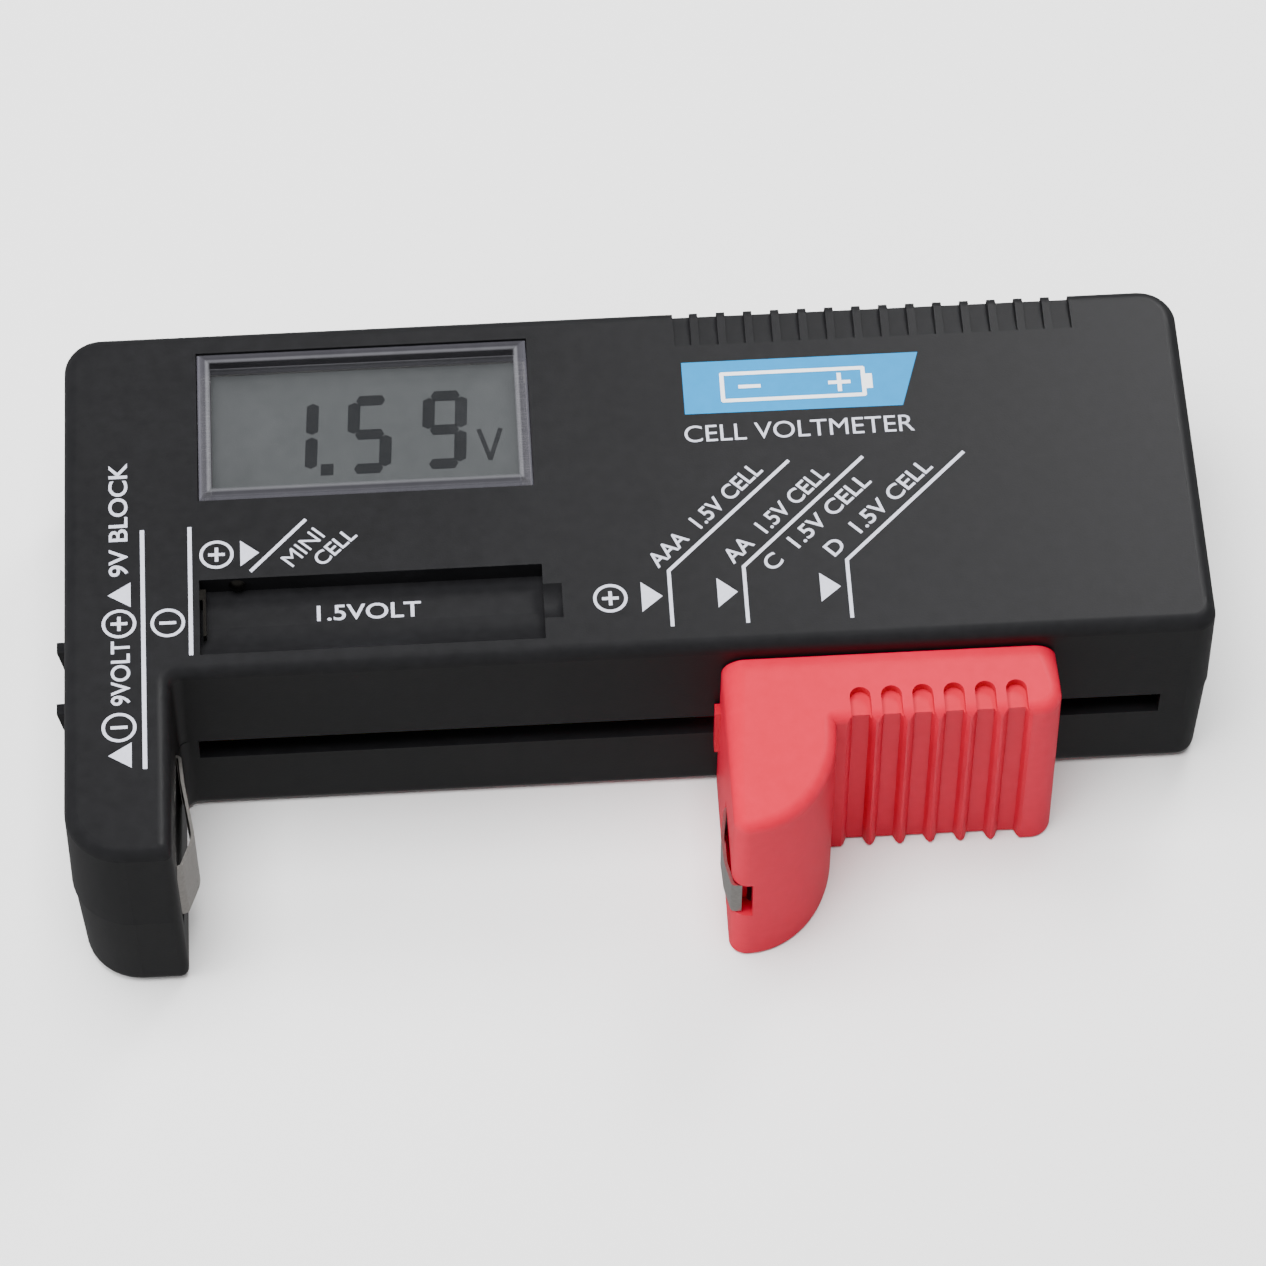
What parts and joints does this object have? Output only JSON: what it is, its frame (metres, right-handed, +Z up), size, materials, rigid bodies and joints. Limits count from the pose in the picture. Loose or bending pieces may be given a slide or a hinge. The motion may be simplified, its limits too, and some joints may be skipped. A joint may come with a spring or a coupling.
{
  "type": "battery tester",
  "caption": "Pocket battery tester: L-shaped case with a liquid-crystal voltmeter, spring-loaded sliding jaw, button-cell trough and 9 V side contacts.",
  "frame": {"origin": "on the flat underside, at the centre of the case's 111.4 by 60.4 mm footprint (side ribs and jaw left out)", "axes": "+X to the right along the length, +Y to the back edge with the finger ribs, +Z up out of the display face"},
  "size_m": [0.1124, 0.0604, 0.0251],
  "materials": {
    "case_plastic": "satin black ABS with a fine grain",
    "jaw_plastic": "satin red ABS",
    "window_plastic": "clear acrylic cover, slightly grey",
    "lcd": "grey-green liquid-crystal glass",
    "frame_plastic": "white plastic",
    "zebra_rubber": "banded elastomer",
    "board": "green solder mask",
    "epoxy": "black epoxy",
    "resistor_body": "tan lacquer with colour bands",
    "capacitor_can": "aluminium can",
    "ferrite": "ferrite drum with copper winding",
    "trimmer_body": "blue plastic",
    "nickel": "nickel-plated spring steel",
    "brass": "plain brass",
    "zinc_screw": "zinc-plated steel",
    "spring_steel": "drawn spring wire",
    "red_lead": "PVC insulation",
    "black_lead": "PVC insulation"
  },
  "bodies": {
    "case": {"upper_case": "case_plastic", "lower_case": "case_plastic", "case_screws": "zinc_screw", "display_window": "window_plastic", "display_glass": "lcd", "display_frame": "frame_plastic", "zebra_strips": "zebra_rubber", "circuit_board": "board", "board_screws": "zinc_screw", "chip_blob": "epoxy", "resistors": "resistor_body", "capacitor": "capacitor_can", "boost_coil": "ferrite", "trimmer": "trimmer_body", "fixed_contact": "nickel", "nine_volt_positive_contact": "nickel", "nine_volt_negative_contact": "nickel", "mini_positive_contact": "nickel", "mini_negative_contact": "nickel", "contact_rail": "brass", "rail_lead": "red_lead", "fixed_lead": "black_lead", "nine_volt_positive_lead": "red_lead", "nine_volt_negative_lead": "black_lead", "return_spring": "spring_steel"},
    "jaw": {"jaw": "jaw_plastic", "jaw_contact": "nickel", "wiper": "brass"}
  },
  "joints": [
    {"name": "jaw_slide", "type": "slide", "parent": "case", "child": "jaw", "axis": [1, 0, 0], "range_m": [-0.0484, 0.0116], "stiffness_N_per_m": 40, "springref_m": -0.06, "deforming": ["return_spring"]}
  ]
}
